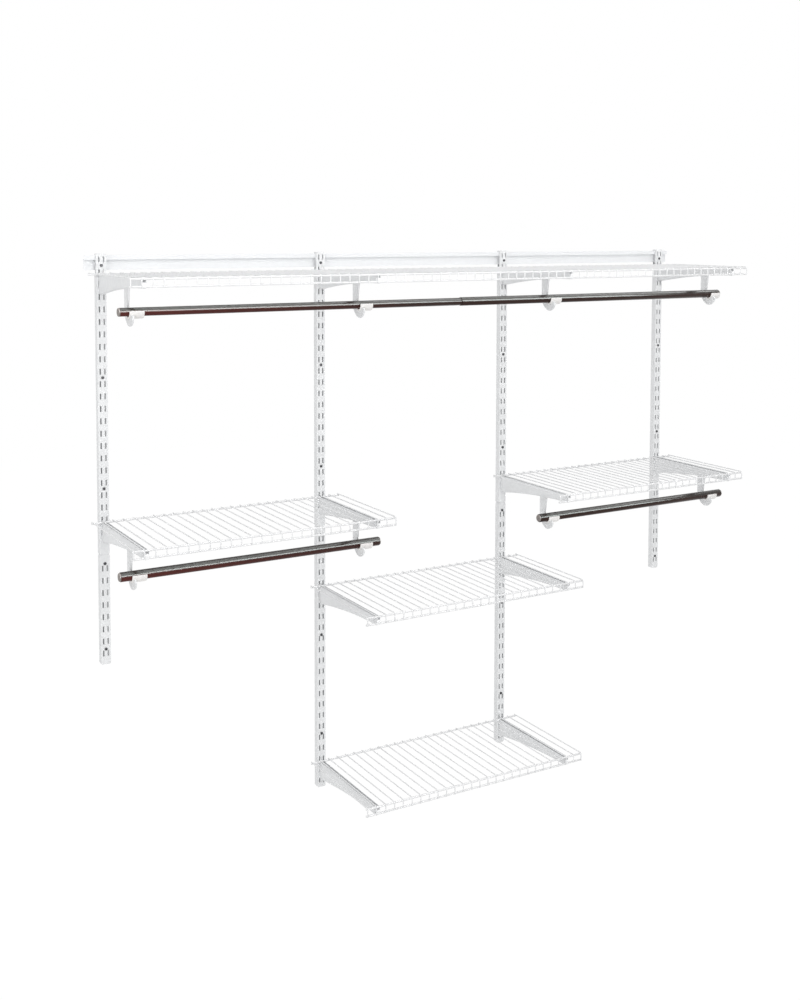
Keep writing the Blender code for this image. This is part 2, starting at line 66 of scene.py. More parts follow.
def add_node(tree, kind, inputs=None, **settings):
    """A shader node whose inputs are given as values or as other nodes' outputs."""
    node = tree.nodes.new("ShaderNode" + kind)
    for name, value in settings.items():
        setattr(node, name, value)
    for name, value in (inputs or {}).items():
        if isinstance(value, bpy.types.NodeSocket):
            tree.links.new(value, node.inputs[name])
        else:
            node.inputs[name].default_value = value
    return node


def seen_directly(tree):
    """1 for rays that show the background: from the camera, off gloss or through glass."""
    path = add_node(tree, "LightPath")
    first = add_node(
        tree,
        "Math",
        {0: path.outputs["Is Camera Ray"], 1: path.outputs["Is Glossy Ray"]},
        operation="MAXIMUM",
    )
    return add_node(
        tree,
        "Math",
        {0: first.outputs[0], 1: path.outputs["Is Transmission Ray"]},
        operation="MAXIMUM",
    ).outputs[0]


def show_front(tree, surface):
    """Puts a shader on the front of a plane, whose back stays clear."""
    side = add_node(tree, "NewGeometry")
    clear = add_node(tree, "BsdfTransparent")
    shown = add_node(
        tree,
        "MixShader",
        {0: side.outputs["Backfacing"], 1: surface.outputs[0], 2: clear.outputs[0]},
    )
    add_node(tree, "OutputMaterial", {"Surface": shown.outputs[0]})


world = bpy.data.worlds.new("white_room")
world.use_nodes = True
world.node_tree.nodes.clear()
bpy.context.scene.world = world
tree = world.node_tree
room_light = add_node(tree, "Background", {"Color": WHITE, "Strength": ROOM_LIGHT})
room_seen = add_node(tree, "Background", {"Color": WHITE, "Strength": 1.0})
room = add_node(
    tree, "MixShader", {0: seen_directly(tree), 1: room_light.outputs[0], 2: room_seen.outputs[0]}
)
add_node(tree, "OutputWorld", {"Surface": room.outputs[0]})
bpy.context.scene.view_settings.view_transform = "Standard"

bpy.ops.object.select_all(action="DESELECT")
bpy.ops.mesh.primitive_plane_add(size=FLOOR_SIZE, location=(0, 0, FLOOR_HEIGHT))
floor = bpy.context.active_object
floor.name = "studio_floor"
floor_white = bpy.data.materials.new("studio_floor")
floor_white.use_nodes = True
tree = floor_white.node_tree
tree.nodes.clear()
shaded = add_node(tree, "BsdfDiffuse", {"Color": FLOOR_WHITE})
white = add_node(tree, "Emission", {"Color": WHITE, "Strength": FLOOR_GLOW})
share = add_node(
    tree, "Math", {0: seen_directly(tree), 1: 1 - FLOOR_SHADE_SHARE}, operation="MULTIPLY"
)
lit = add_node(tree, "MixShader", {0: share.outputs[0], 1: shaded.outputs[0], 2: white.outputs[0]})
show_front(tree, lit)
floor.data.materials.append(floor_white)

# The shaded wall that closes the uprights' channels at the back and shows through their
# slots: painted shade, a dim even glow that no lamp lights. It is there from the front only,
# and clear from behind.
UPRIGHT_NUMBERS = range(1, 5)
CHANNEL_INSIDE = 0.0200
OFF_THE_WALL = 0.0004
INSIDE_THE_ENDS = 0.004
WALL_SHADE = (0.19, 0.195, 0.20, 1)
shade = bpy.data.materials.new("shaded_wall")
shade.use_nodes = True
tree = shade.node_tree
tree.nodes.clear()
dim = add_node(tree, "Emission", {"Color": WALL_SHADE, "Strength": 1.0})
show_front(tree, dim)
for index in UPRIGHT_NUMBERS:
    upper_low, upper_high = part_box(f"upright_upper_{index}")
    lower_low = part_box(f"upright_lower_{index}")[0]
    middle = (upper_low + upper_high) / 2
    top, bottom = upper_high.z - INSIDE_THE_ENDS, lower_low.z + INSIDE_THE_ENDS
    bpy.ops.object.select_all(action="DESELECT")
    bpy.ops.mesh.primitive_plane_add(
        size=1,
        location=(middle.x, -OFF_THE_WALL, (top + bottom) / 2),
        rotation=(math.radians(90), 0, 0),
    )
    strip = bpy.context.active_object
    strip.name = f"shaded_wall_{index}"
    strip.scale = (CHANNEL_INSIDE, top - bottom, 1)
    strip.data.materials.append(shade)

# Name, place, aim, size and watts of the soft lamps.
for name, place, aim, size, power in (
    ("lamp_above", (-0.9, -2.6, 2.4), (0.1, 0, -0.5), 2.6, 38),
    ("lamp_front", (0.6, -4.6, 0.5), (0, 0, -0.5), 3.0, 27),
    ("lamp_left", (-3.6, -1.8, 0.4), (0, -0.1, -0.5), 2.2, 22),
):
    bpy.ops.object.light_add(type="AREA", location=place)
    lamp = bpy.context.active_object
    lamp.name = name
    lamp.data.size = size
    lamp.data.energy = power
    lamp.rotation_euler = (Vector(aim) - Vector(place)).to_track_quat("-Z", "Y").to_euler()
# Name, place, turn in degrees, size and radiance of the lamps that only gloss shows.
for name, place, turn_deg, size, radiance in (
    ("window_in_gloss", (1.2, -4.0, 1.15), (90, 0, 0), (8.0, 1.9), 35.0),
    ("ceiling_in_gloss", (0.9, -2.4, 2.3), (0, 0, 0), (8.0, 6.0), 7.6),
):
    bpy.ops.object.light_add(
        type="AREA", location=place, rotation=[math.radians(turn) for turn in turn_deg]
    )
    lamp = bpy.context.active_object
    lamp.name = name
    lamp.data.shape = "RECTANGLE"
    lamp.data.size, lamp.data.size_y = size
    lamp.data.energy = radiance * math.pi * size[0] * size[1]
    lamp.visible_diffuse = False
    lamp.visible_camera = False

bpy.ops.object.camera_add(
    location=CAMERA_PLACE, rotation=[math.radians(turn) for turn in CAMERA_TURN_DEG]
)
camera = bpy.context.active_object
camera.data.sensor_fit = "VERTICAL"
camera.data.sensor_height = 36
camera.data.lens = CAMERA_LENS
camera.data.shift_x, camera.data.shift_y = CAMERA_SHIFT
bpy.context.scene.camera = camera


# The hang rail and the uprights. Rolled steel strip and slotted steel channels, powder
# coated white: a hard, slightly pebbled coat with a low sheen and a faintly uneven tone.
# The uprights hook over the rail and are screwed to the wall.
PAINT_PALE = (0.80, 0.808, 0.815, 1)
PAINT_DEEP = (0.74, 0.748, 0.757, 1)
RAIL_PALE = (0.81, 0.822, 0.835, 1)
RAIL_DEEP = (0.78, 0.792, 0.805, 1)
PAINT_GLOSS = 0.075
BUMP_DISTANCE = 0.0003


def new_group(name, inputs, outputs):
    """An empty node group with these sockets, its input node and its output node."""
    group = bpy.data.node_groups.new(name, "ShaderNodeTree")
    for way, sockets in (("INPUT", inputs), ("OUTPUT", outputs)):
        for socket, kind in sockets.items():
            group.interface.new_socket(socket, in_out=way, socket_type="NodeSocket" + kind)
    return group, group.nodes.new("NodeGroupInput"), group.nodes.new("NodeGroupOutput")


coat, given, made = new_group(
    "sprayed_coat",
    {
        "Place": "Vector",
        "Pale": "Color",
        "Deep": "Color",
        "Pebble Scale": "Float",
        "Smoothest": "Float",
        "Roughest": "Float",
    },
    {"Colour": "Color", "Roughness": "Float", "Height": "Float"},
)
cloud = add_node(coat, "TexNoise", {"Vector": given.outputs["Place"], "Scale": 7.0, "Detail": 4.0})
film = add_node(coat, "TexNoise", {"Vector": given.outputs["Place"], "Scale": 95.0, "Detail": 3.0})
pebble = add_node(
    coat,
    "TexNoise",
    {"Vector": given.outputs["Place"], "Scale": given.outputs["Pebble Scale"], "Detail": 1.5},
)
tone = add_node(
    coat, "Math", {0: cloud.outputs["Fac"], 1: film.outputs["Fac"]}, operation="MULTIPLY"
)
tone_share = add_node(
    coat, "MapRange", {"Value": tone.outputs[0], "From Min": 0.12, "From Max": 0.40}
)
colour = add_node(
    coat,
    "Mix",
    {0: tone_share.outputs[0], 6: given.outputs["Pale"], 7: given.outputs["Deep"]},
    data_type="RGBA",
)
roughness = add_node(
    coat,
    "MapRange",
    {
        "Value": film.outputs["Fac"],
        "From Min": 0.3,
        "From Max": 0.7,
        "To Min": given.outputs["Smoothest"],
        "To Max": given.outputs["Roughest"],
    },
)
coat.links.new(colour.outputs[2], made.inputs["Colour"])
coat.links.new(roughness.outputs[0], made.inputs["Roughness"])
coat.links.new(pebble.outputs["Fac"], made.inputs["Height"])


def coated(name, pale, deep, pebble_scale, smoothest, roughest, bump, **plain):
    """A sprayed or dipped coat as a material, with plain values on its own shader."""
    material = bpy.data.materials.new(name)
    material.use_nodes = True
    tree = material.node_tree
    place = add_node(tree, "TexCoord")
    layer = add_node(
        tree,
        "Group",
        {
            "Place": place.outputs["Object"],
            "Pale": pale,
            "Deep": deep,
            "Pebble Scale": pebble_scale,
            "Smoothest": smoothest,
            "Roughest": roughest,
        },
        node_tree=coat,
    )
    relief = add_node(
        tree,
        "Bump",
        {"Height": layer.outputs["Height"], "Strength": bump, "Distance": BUMP_DISTANCE},
    )
    shader = tree.nodes["Principled BSDF"]
    tree.links.new(layer.outputs["Colour"], shader.inputs["Base Color"])
    tree.links.new(layer.outputs["Roughness"], shader.inputs["Roughness"])
    tree.links.new(relief.outputs["Normal"], shader.inputs["Normal"])
    for socket, value in plain.items():
        shader.inputs[socket.replace("_", " ")].default_value = value
    return material


white_paint = coated(
    "white_powder_coat", PAINT_PALE, PAINT_DEEP,
    pebble_scale=620.0, smoothest=0.34, roughest=0.46, bump=0.25,
    Specular_IOR_Level=PAINT_GLOSS,
)
rail_paint = coated(
    "rail_powder_coat", RAIL_PALE, RAIL_DEEP,
    pebble_scale=620.0, smoothest=0.34, roughest=0.46, bump=0.25,
    Specular_IOR_Level=PAINT_GLOSS,
)
for name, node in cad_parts.items():
    if name.startswith(("hang_rail", "upright")):
        for slot in node.material_slots:
            slot.material = rail_paint if name == "hang_rail" else white_paint


# The wire shelves. Round steel wires welded into a grid and dipped in white epoxy: the
# cross wires lie over the long ones, bend down over the front wire and end on the lip's
# lower wire. Each shelf is one welded piece on its brackets; the top one gets a paler copy
# of the coat, painted light that lifts its darker shading.
WIRE_PITCH = 0.0255
SHELF_OVERHANG = 0.031
CROSS_RADIUS = 0.0015
CROSS_SIDES = 8
LONG_RADIUS = 0.0025
LONG_SIDES = 12
DECK_DROP = 0.0006
BEND_RADIUS = 0.005
BEND_STEPS = 4
LIP_FRONT = -0.3360
CROSS_BACK = -0.0186
LONG_WIRES = ((-0.0218, -0.0052), (-0.3309, -0.0052), (-0.3309, -0.0224))
LIP_LOW = -0.0238
SMALL_SHELF_WIRES = 27
TOP_SHELF_WIRES = 73
WIRE_EASE = 0.0008
WELD_DISTANCE = 0.000001
SHARP_DEG = 50
SMOOTH_DEG = 40


def choose(*pieces):
    """Selects these pieces alone; the last one is active."""
    bpy.ops.object.select_all(action="DESELECT")
    for piece in pieces:
        piece.select_set(True)
    bpy.context.view_layer.objects.active = pieces[-1]


def cylinder_along_x(radius, length, middle, sides):
    """A new solid cylinder whose axis is parallel to X, as the only chosen piece."""
    bpy.ops.object.select_all(action="DESELECT")
    bpy.ops.mesh.primitive_cylinder_add(
        vertices=sides,
        radius=radius,
        depth=length,
        location=middle,
        rotation=(0, math.radians(90), 0),
    )
    return bpy.context.active_object


def pick(kind, wanted):
    """Selects, in edit mode, the verts, edges or faces whose middle passes a test."""
    piece = bpy.context.edit_object
    modes = {"verts": "VERT", "edges": "EDGE", "faces": "FACE"}
    bpy.ops.mesh.select_mode(type=modes[kind])
    bpy.ops.mesh.select_all(action="DESELECT")
    shape = bmesh.from_edit_mesh(piece.data)
    for element in getattr(shape, kind):
        corners = [element.co] if kind == "verts" else [vert.co for vert in element.verts]
        if wanted(piece.matrix_world @ (sum(corners, Vector()) / len(corners))):
            element.select_set(True)
    shape.select_flush_mode()
    bmesh.update_edit_mesh(piece.data)


def settle(piece):
    """Leaves edit mode, applies place and modifiers, and smooths the round faces."""
    if piece.mode == "EDIT":
        bpy.ops.mesh.select_all(action="SELECT")
        bpy.ops.mesh.remove_doubles(threshold=WELD_DISTANCE)
        bpy.ops.mesh.normals_make_consistent(inside=False)
        bpy.ops.object.mode_set(mode="OBJECT")
    choose(piece)
    bpy.ops.object.transform_apply(location=True, rotation=True, scale=True)
    for modifier in list(piece.modifiers):
        bpy.ops.object.modifier_apply(modifier=modifier.name)
    bpy.ops.object.shade_smooth_by_angle(angle=math.radians(SMOOTH_DEG))
    return piece


def add_ease(piece, width, segments=2):
    """Eases a piece's sharp edges, with a bevel that settle applies."""
    ease = piece.modifiers.new("ease", "BEVEL")
    ease.width = width
    ease.segments = segments
    ease.limit_method = "ANGLE"
    ease.angle_limit = math.radians(SHARP_DEG)


def nodes_with(word):
    """The names of the CAD nodes that have this word in them."""
    return sorted(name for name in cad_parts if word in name)


def copy_of(piece, name, move):
    """A copy with its own mesh, moved, and its place in its mesh."""
    choose(piece)
    bpy.ops.object.duplicate(linked=False)
    twin = bpy.context.active_object
    twin.name = name
    twin.data.name = name
    twin.location = move
    bpy.ops.object.transform_apply(location=True, rotation=True, scale=True)
    return twin


def dress(piece, material, body, slot, *nodes):
    """Gives a finished piece its finish, its body and the CAD nodes that it stands for."""
    if material:
        piece.data.materials.clear()
        piece.data.materials.append(material)
    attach(piece, body)
    if nodes:
        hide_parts(*nodes)


def long_wire(start, end, y, z):
    """A long wire from one X to another, with eased ends."""
    middle = Vector(((start + end) / 2, y, z))
    wire = cylinder_along_x(LONG_RADIUS, end - start, middle, LONG_SIDES)
    bpy.ops.object.mode_set(mode="EDIT")
    pick("faces", lambda at: abs(at.x - middle.x) > (end - start) / 2 - WIRE_EASE / 10)
    bpy.ops.mesh.bevel(offset=WIRE_EASE, segments=2, affect="EDGES")
    return settle(wire)


def wire_shelf(name, wires):
    """A shelf whose first upright stands at X = 0 and whose deck is at Z = 0."""
    first = -SHELF_OVERHANG
    deck = -DECK_DROP - CROSS_RADIUS
    bend = (LIP_FRONT + CROSS_RADIUS + BEND_RADIUS, deck - BEND_RADIUS)
    bpy.ops.object.select_all(action="DESELECT")
    bpy.ops.mesh.primitive_circle_add(
        vertices=CROSS_SIDES,
        radius=CROSS_RADIUS,
        fill_type="NGON",
        location=(first, CROSS_BACK, deck),
        rotation=(math.radians(90), 0, 0),
    )
    cross = bpy.context.active_object
    bpy.ops.object.mode_set(mode="EDIT")
    bpy.ops.mesh.select_all(action="SELECT")
    bpy.ops.mesh.extrude_region_move(
        TRANSFORM_OT_translate={"value": (0, bend[0] - CROSS_BACK, 0)}
    )
    bpy.ops.mesh.spin(
        steps=BEND_STEPS, angle=math.radians(-90), center=(first, *bend), axis=(1, 0, 0)
    )
    bpy.ops.mesh.extrude_region_move(
        TRANSFORM_OT_translate={"value": (0, 0, LIP_LOW - bend[1])}
    )
    settle(cross)
    run = cross.modifiers.new("run", "ARRAY")
    run.use_relative_offset = False
    run.use_constant_offset = True
    run.constant_offset_displace = (WIRE_PITCH, 0, 0)
    run.count = wires
    bpy.ops.object.modifier_apply(modifier=run.name)
    last = first + WIRE_PITCH * (wires - 1)
    long_wires = [long_wire(first - LONG_RADIUS, last + LONG_RADIUS, y, z) for y, z in LONG_WIRES]
    choose(*long_wires, cross)
    bpy.ops.object.join()
    cross.name = name
    cross.data.name = name
    return cross


def place_of(node):
    """Where a shelf hangs: its first upright's middle and its deck."""
    low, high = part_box(node)
    return Vector((low.x + SHELF_OVERHANG + LONG_RADIUS, 0, high.z))


white_wire = coated(
    "white_epoxy", pale=(0.79, 0.793, 0.80, 1), deep=(0.74, 0.744, 0.752, 1),
    pebble_scale=260.0, smoothest=0.24, roughest=0.36, bump=0.2,
    Specular_IOR_Level=PAINT_GLOSS,
)
small_shelf = wire_shelf("small_wires_first", SMALL_SHELF_WIRES)
for label in ("left", "right", "middle", "bottom"):
    shelf = copy_of(small_shelf, f"{label}_wires", place_of(f"{label}_shelf"))
    dress(shelf, white_wire, "wall_frame", "white_wire", f"{label}_shelf")
bpy.data.objects.remove(small_shelf, do_unlink=True)
# Painted light: a paler copy of the epoxy for the top shelf, to lift its shading.
painted_light_top_wire = coated(
    "white_epoxy_top_painted_light", pale=(0.835, 0.839, 0.845, 1), deep=(0.79, 0.794, 0.80, 1),
    pebble_scale=260.0, smoothest=0.24, roughest=0.36, bump=0.2,
    Specular_IOR_Level=PAINT_GLOSS,
)
top_shelf = wire_shelf("top_wires_first", TOP_SHELF_WIRES)
shelf = copy_of(top_shelf, "top_wires", place_of("top_shelf"))
dress(shelf, painted_light_top_wire, "wall_frame", "white_wire", "top_shelf")
bpy.data.objects.remove(top_shelf, do_unlink=True)


# The brackets. Each is one steel sheet folded up on both sides into a channel that is
# open at the top, cut to a long curve below, with a hook on each side for the slots.
# Notches in its top edges seat the long wires. Coated like the uprights, with painted shade inside
# the channel.
BRACKET_TOP = -0.0053
BRACKET_HALF = 0.00635
BRACKET_SHEET = 0.0015
BRACKET_FACE = -0.0173
BRACKET_TIP = -0.3307
BRACKET_HEEL = -0.048
BRACKET_HEEL_LENGTH = 0.012
BRACKET_ROOT_DROP = 0.054
BRACKET_TIP_DROP = 0.0255
BRACKET_CURVE = 1.9
BRACKET_STEPS = 16
BRACKET_FOLD = 0.0022
NOTCH_ROOM = 0.0002
NOTCH_SIDES = 24
SHEET_EASE = 0.0004
SHEET_EDGE = 0.001
HOOK_FACE = -0.0152
HOOK_LAP = 0.001
HOOK_THICKNESS = 0.003
HOOK_DROP = 0.0078
HOOK_EASE = 0.0003
SLOT_TOP = -0.0222
SLOT_LOW = -0.0366
SLOT_ROOM = 0.0006


def bracket_low(y):
    """Height of a bracket's lower edge below the deck at this Y."""
    left = max(0, 1 - (BRACKET_FACE - y) / (BRACKET_FACE - BRACKET_TIP))
    return -BRACKET_TIP_DROP - (BRACKET_ROOT_DROP - BRACKET_TIP_DROP) * left**BRACKET_CURVE


def cut_seat(piece, seat):
    """Cuts the room for a long wire across a piece."""
    cutter = cylinder_along_x(
        LONG_RADIUS + NOTCH_ROOM, 4 * BRACKET_HALF, (0, *seat), NOTCH_SIDES
    )
    notch = piece.modifiers.new("notch", "BOOLEAN")
    notch.operation = "DIFFERENCE"
    notch.object = cutter
    settle(piece)
    bpy.data.objects.remove(cutter, do_unlink=True)


bpy.ops.object.select_all(action="DESELECT")
bpy.ops.mesh.primitive_plane_add(
    size=1,
    location=(0, BRACKET_FACE, (BRACKET_TOP + BRACKET_HEEL) / 2),
    rotation=(math.radians(90), 0, 0),
)
bracket = bpy.context.active_object
bracket.scale = (2 * BRACKET_HALF - BRACKET_SHEET, BRACKET_TOP - BRACKET_HEEL, 1)
bpy.ops.object.transform_apply(location=True, rotation=True, scale=True)
bpy.ops.object.mode_set(mode="EDIT")
pick("edges", lambda at: at.z > BRACKET_TOP - SHEET_EDGE)
bpy.ops.mesh.delete(type="EDGE_FACE")
bpy.ops.mesh.select_all(action="SELECT")
heel = BRACKET_FACE - BRACKET_HEEL_LENGTH
places = [heel + (BRACKET_TIP - heel) * step / BRACKET_STEPS for step in range(BRACKET_STEPS + 1)]
now_y, now_low = BRACKET_FACE, BRACKET_HEEL
for next_y in places:
    bpy.ops.mesh.extrude_region_move(
        TRANSFORM_OT_translate={"value": (0, next_y - now_y, 0)}
    )
    next_low = bracket_low(next_y)
    bpy.ops.transform.resize(
        value=(1, 1, (next_low - BRACKET_TOP) / (now_low - BRACKET_TOP)),
        center_override=(0, next_y, BRACKET_TOP),
    )
    now_y, now_low = next_y, next_low
pick("edges", lambda at: abs(at.x) > BRACKET_SHEET and at.z < 0.8 * bracket_low(at.y))
bpy.ops.mesh.bevel(offset=BRACKET_FOLD, segments=3, affect="EDGES")
bpy.ops.object.mode_set(mode="OBJECT")
sheet = bracket.modifiers.new("sheet", "SOLIDIFY")
sheet.thickness = BRACKET_SHEET
sheet.offset = 0
sheet.use_even_offset = True
add_ease(bracket, SHEET_EASE)
settle(bracket)
back_wire, front_wire, lip_wire = LONG_WIRES
cut_seat(bracket, back_wire)
cut_seat(bracket, front_wire)
# Painted shade: the channel's inner faces and floor get a darker, duller copy of the coat.
channel_painted_shade = coated(
    "painted_shade_inside", pale=(0.68, 0.69, 0.70, 1), deep=(0.62, 0.63, 0.64, 1),
    pebble_scale=620.0, smoothest=0.42, roughest=0.56, bump=0.25,
    Specular_IOR_Level=PAINT_GLOSS,
)
bracket.data.materials.clear()
bracket.data.materials.append(white_paint)
bracket.data.materials.append(channel_painted_shade)
choose(bracket)
bpy.ops.object.mode_set(mode="EDIT")
bpy.ops.mesh.select_mode(type="FACE")
bpy.ops.mesh.select_all(action="DESELECT")
shape = bmesh.from_edit_mesh(bracket.data)
# Picks the inner faces and the floor of the channel for the painted shade.
for face in shape.faces:
    at = face.calc_center_median()
    facing_in = abs(at.x) > BRACKET_HALF / 2 and at.x * face.normal.x < -0.5 * abs(at.x)
    floor_top = abs(at.x) < BRACKET_HALF - BRACKET_SHEET and face.normal.z > 0.5
    face.select_set(facing_in or floor_top and at.z < BRACKET_TOP / 2 - BRACKET_TIP_DROP / 2)
bmesh.update_edit_mesh(bracket.data)
bracket.active_material_index = 1
bpy.ops.object.material_slot_assign()
bpy.ops.object.mode_set(mode="OBJECT")
hooks = []
for side in (-1, 1):
    x = side * (BRACKET_HALF - BRACKET_SHEET / 2)
    bpy.ops.object.select_all(action="DESELECT")
    bpy.ops.mesh.primitive_cube_add(
        size=1, location=(x, (BRACKET_FACE + HOOK_FACE) / 2, (SLOT_TOP + SLOT_LOW) / 2)
    )
    hook = bpy.context.active_object
    hook.scale = (
        BRACKET_SHEET,
        HOOK_FACE - BRACKET_FACE + HOOK_LAP,
        SLOT_TOP - SLOT_LOW - SLOT_ROOM,
    )
    bpy.ops.object.transform_apply(location=True, rotation=True, scale=True)
    bpy.ops.object.mode_set(mode="EDIT")
    pick("faces", lambda at: at.y > HOOK_FACE)
    bpy.ops.mesh.extrude_region_move(TRANSFORM_OT_translate={"value": (0, HOOK_THICKNESS, 0)})
    pick("faces", lambda at: at.y > HOOK_FACE and at.z < SLOT_LOW + SLOT_ROOM)
    bpy.ops.mesh.extrude_region_move(TRANSFORM_OT_translate={"value": (0, 0, -HOOK_DROP)})
    add_ease(hook, HOOK_EASE)
    hook.data.materials.append(white_paint)
    hooks.append(settle(hook))
choose(*hooks, bracket)
bpy.ops.object.join()

for node_name in nodes_with("_bracket_"):
    low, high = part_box(node_name)
    at = Vector(((low.x + high.x) / 2, 0, high.z - BRACKET_TOP))
    piece = copy_of(bracket, node_name.replace("bracket", "shelf_bracket"), at)
    dress(piece, None, "wall_frame", "white_paint", node_name)
bpy.data.objects.remove(bracket, do_unlink=True)


# The tip clips. Small white plastic blocks pushed into the brackets' open ends. Each has a
# groove that snaps over the shelf lip's lower wire, so that the shelf can't lift.
CLIP_SIZE = (0.0088, 0.0150, 0.0118)
CLIP_MIDDLE = (0, -0.3270, -0.0187)
CLIP_ROUND = 0.0030

bpy.ops.object.select_all(action="DESELECT")
bpy.ops.mesh.primitive_cube_add(size=1, location=CLIP_MIDDLE)
clip = bpy.context.active_object
clip.scale = CLIP_SIZE
bpy.ops.object.transform_apply(location=True, rotation=True, scale=True)
bpy.ops.object.mode_set(mode="EDIT")
clip_top = CLIP_MIDDLE[2] + CLIP_SIZE[2] / 2
pick("edges", lambda at: at.z > clip_top - SHEET_EASE and at.y < CLIP_MIDDLE[1])
bpy.ops.mesh.bevel(offset=CLIP_ROUND, segments=3, affect="EDGES")
bpy.ops.object.mode_set(mode="OBJECT")
settle(clip)
cut_seat(clip, lip_wire)
add_ease(clip, SHEET_EASE)
settle(clip)
clip_plastic = coated(
    "white_clip_plastic", pale=(0.84, 0.845, 0.85, 1), deep=(0.79, 0.795, 0.80, 1),
    pebble_scale=1400.0, smoothest=0.34, roughest=0.46, bump=0.12,
    Specular_IOR_Level=PAINT_GLOSS,
)
for node_name in nodes_with("_bracket_"):
    low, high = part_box(node_name)
    at = Vector(((low.x + high.x) / 2, 0, high.z - BRACKET_TOP))
    piece = copy_of(clip, node_name.replace("bracket", "tip_clip"), at)
    dress(piece, clip_plastic, "wall_frame", "white_plastic")
bpy.data.objects.remove(clip, do_unlink=True)


# The rod hooks. Flat steel plates that hang through a bracket's floor by two shoulders
# and curl under the rod in one round lobe. Stamped with a raised rim, coated white.
HOOK_PLATE = 0.0045
HOOK_RIM = 0.0028
HOOK_RECESS = 0.0012
STRAP_BACK = 0.035
STRAP_FRONT_TOP = 0.0045
STRAP_FRONT_LOW = 0.0122
TAPER_HEIGHT = 0.010
LOBE_BORE = 0.0159
LOBE_TURN_DEG = 158
LOBE_STEPS = 28
LOBE_POINT_SHARE = 0.07
LOBE_FRONT_SHARE = 0.12
LOBE_END_STEPS = 5
LOBE_END_FLAT = 0.45
STRAP_TOP_DROP = 0.006
FIRST_HEIGHT = 0.0001
SAME_PLACE = 0.0005

rod_low, rod_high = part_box("top_rod_outer")
rod_y = (rod_low.y + rod_high.y) / 2
strap_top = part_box("top_rod_hook_1")[1].z - (rod_low.z + rod_high.z) / 2
bpy.ops.object.select_all(action="DESELECT")
bpy.ops.mesh.primitive_plane_add(
    size=1, location=(0, (STRAP_BACK + LOBE_BORE) / 2, 0), rotation=(0, math.radians(90), 0)
)
rod_hook = bpy.context.active_object
rod_hook.scale = (FIRST_HEIGHT, STRAP_BACK - LOBE_BORE, 1)
bpy.ops.object.transform_apply(location=True, rotation=True, scale=True)
bpy.ops.object.mode_set(mode="EDIT")
pick("edges", lambda at: at.z < 0)
bpy.ops.transform.translate(value=(0, 0, FIRST_HEIGHT / 2))
bpy.ops.mesh.spin(
    steps=LOBE_STEPS, angle=math.radians(-LOBE_TURN_DEG), center=(0, 0, 0), axis=(-1, 0, 0)
)
bore_share = LOBE_BORE / STRAP_BACK
for step in range(1, LOBE_STEPS + 1):
    turn = math.radians(LOBE_TURN_DEG) * step / LOBE_STEPS
    outer = Vector((0, STRAP_BACK * math.cos(turn), -STRAP_BACK * math.sin(turn)))
    pick("verts", lambda at: (at - outer).length < SAME_PLACE)
    narrow = 1 - LOBE_FRONT_SHARE * (1 - math.cos(turn)) / 2
    narrow -= LOBE_POINT_SHARE * math.sin(2 * turn) ** 2
    into_end = max(0, step - LOBE_STEPS + LOBE_END_STEPS) / LOBE_END_STEPS
    rounded = math.sqrt(1 - (1 - LOBE_END_FLAT**2) * into_end**2)
    narrow = bore_share + (narrow - bore_share) * rounded
    bpy.ops.transform.resize(value=(1, narrow, narrow), center_override=(0, 0, 0))
pick("verts", lambda at: at.z > FIRST_HEIGHT / 4)
bpy.ops.transform.translate(value=(0, 0, TAPER_HEIGHT - FIRST_HEIGHT / 2))
pick("verts", lambda at: at.z > TAPER_HEIGHT / 2 and at.y < STRAP_BACK / 2)
bpy.ops.transform.translate(value=(0, STRAP_FRONT_LOW - LOBE_BORE, 0))
pick("edges", lambda at: at.z > TAPER_HEIGHT - SAME_PLACE)
bpy.ops.mesh.extrude_region_move(
    TRANSFORM_OT_translate={"value": (0, 0, strap_top - STRAP_TOP_DROP - TAPER_HEIGHT)}
)
pick("verts", lambda at: at.z > strap_top - STRAP_TOP_DROP - SAME_PLACE and at.y < STRAP_BACK / 2)
bpy.ops.transform.translate(value=(0, STRAP_FRONT_TOP - STRAP_FRONT_LOW, 0))
bpy.ops.object.mode_set(mode="OBJECT")
plate = rod_hook.modifiers.new("plate", "SOLIDIFY")
plate.thickness = HOOK_PLATE
plate.offset = 0
bpy.ops.object.modifier_apply(modifier=plate.name)
bpy.ops.object.mode_set(mode="EDIT")
for side in (-1, 1):
    pick("faces", lambda at: at.x * side > HOOK_PLATE / 4)
    bpy.ops.mesh.inset(thickness=HOOK_RIM, depth=-HOOK_RECESS)
bpy.ops.object.mode_set(mode="OBJECT")
add_ease(rod_hook, SHEET_EASE)
settle(rod_hook)

for node_name in nodes_with("_rod_hook_"):
    low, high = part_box(node_name)
    at = Vector(((low.x + high.x) / 2, rod_y, high.z - strap_top))
    piece = copy_of(rod_hook, node_name.replace("hook", "hanger_hook"), at)
    dress(piece, white_paint, "wall_frame", "white_paint", node_name)
bpy.data.objects.remove(rod_hook, do_unlink=True)


# The rod saddles. Warm white moulded plastic troughs, clipped into the hooks' lobes, that
# the rods lie in and slide on.
SADDLE_BORE = 0.0114
SADDLE_WALL = 0.0042
SADDLE_LEFT = 0.0084
SADDLE_RIGHT = 0.0262
SADDLE_START_DEG = -190
SADDLE_TURN_DEG = 140
SADDLE_STEPS = 20
SADDLE_EASE = 0.0012

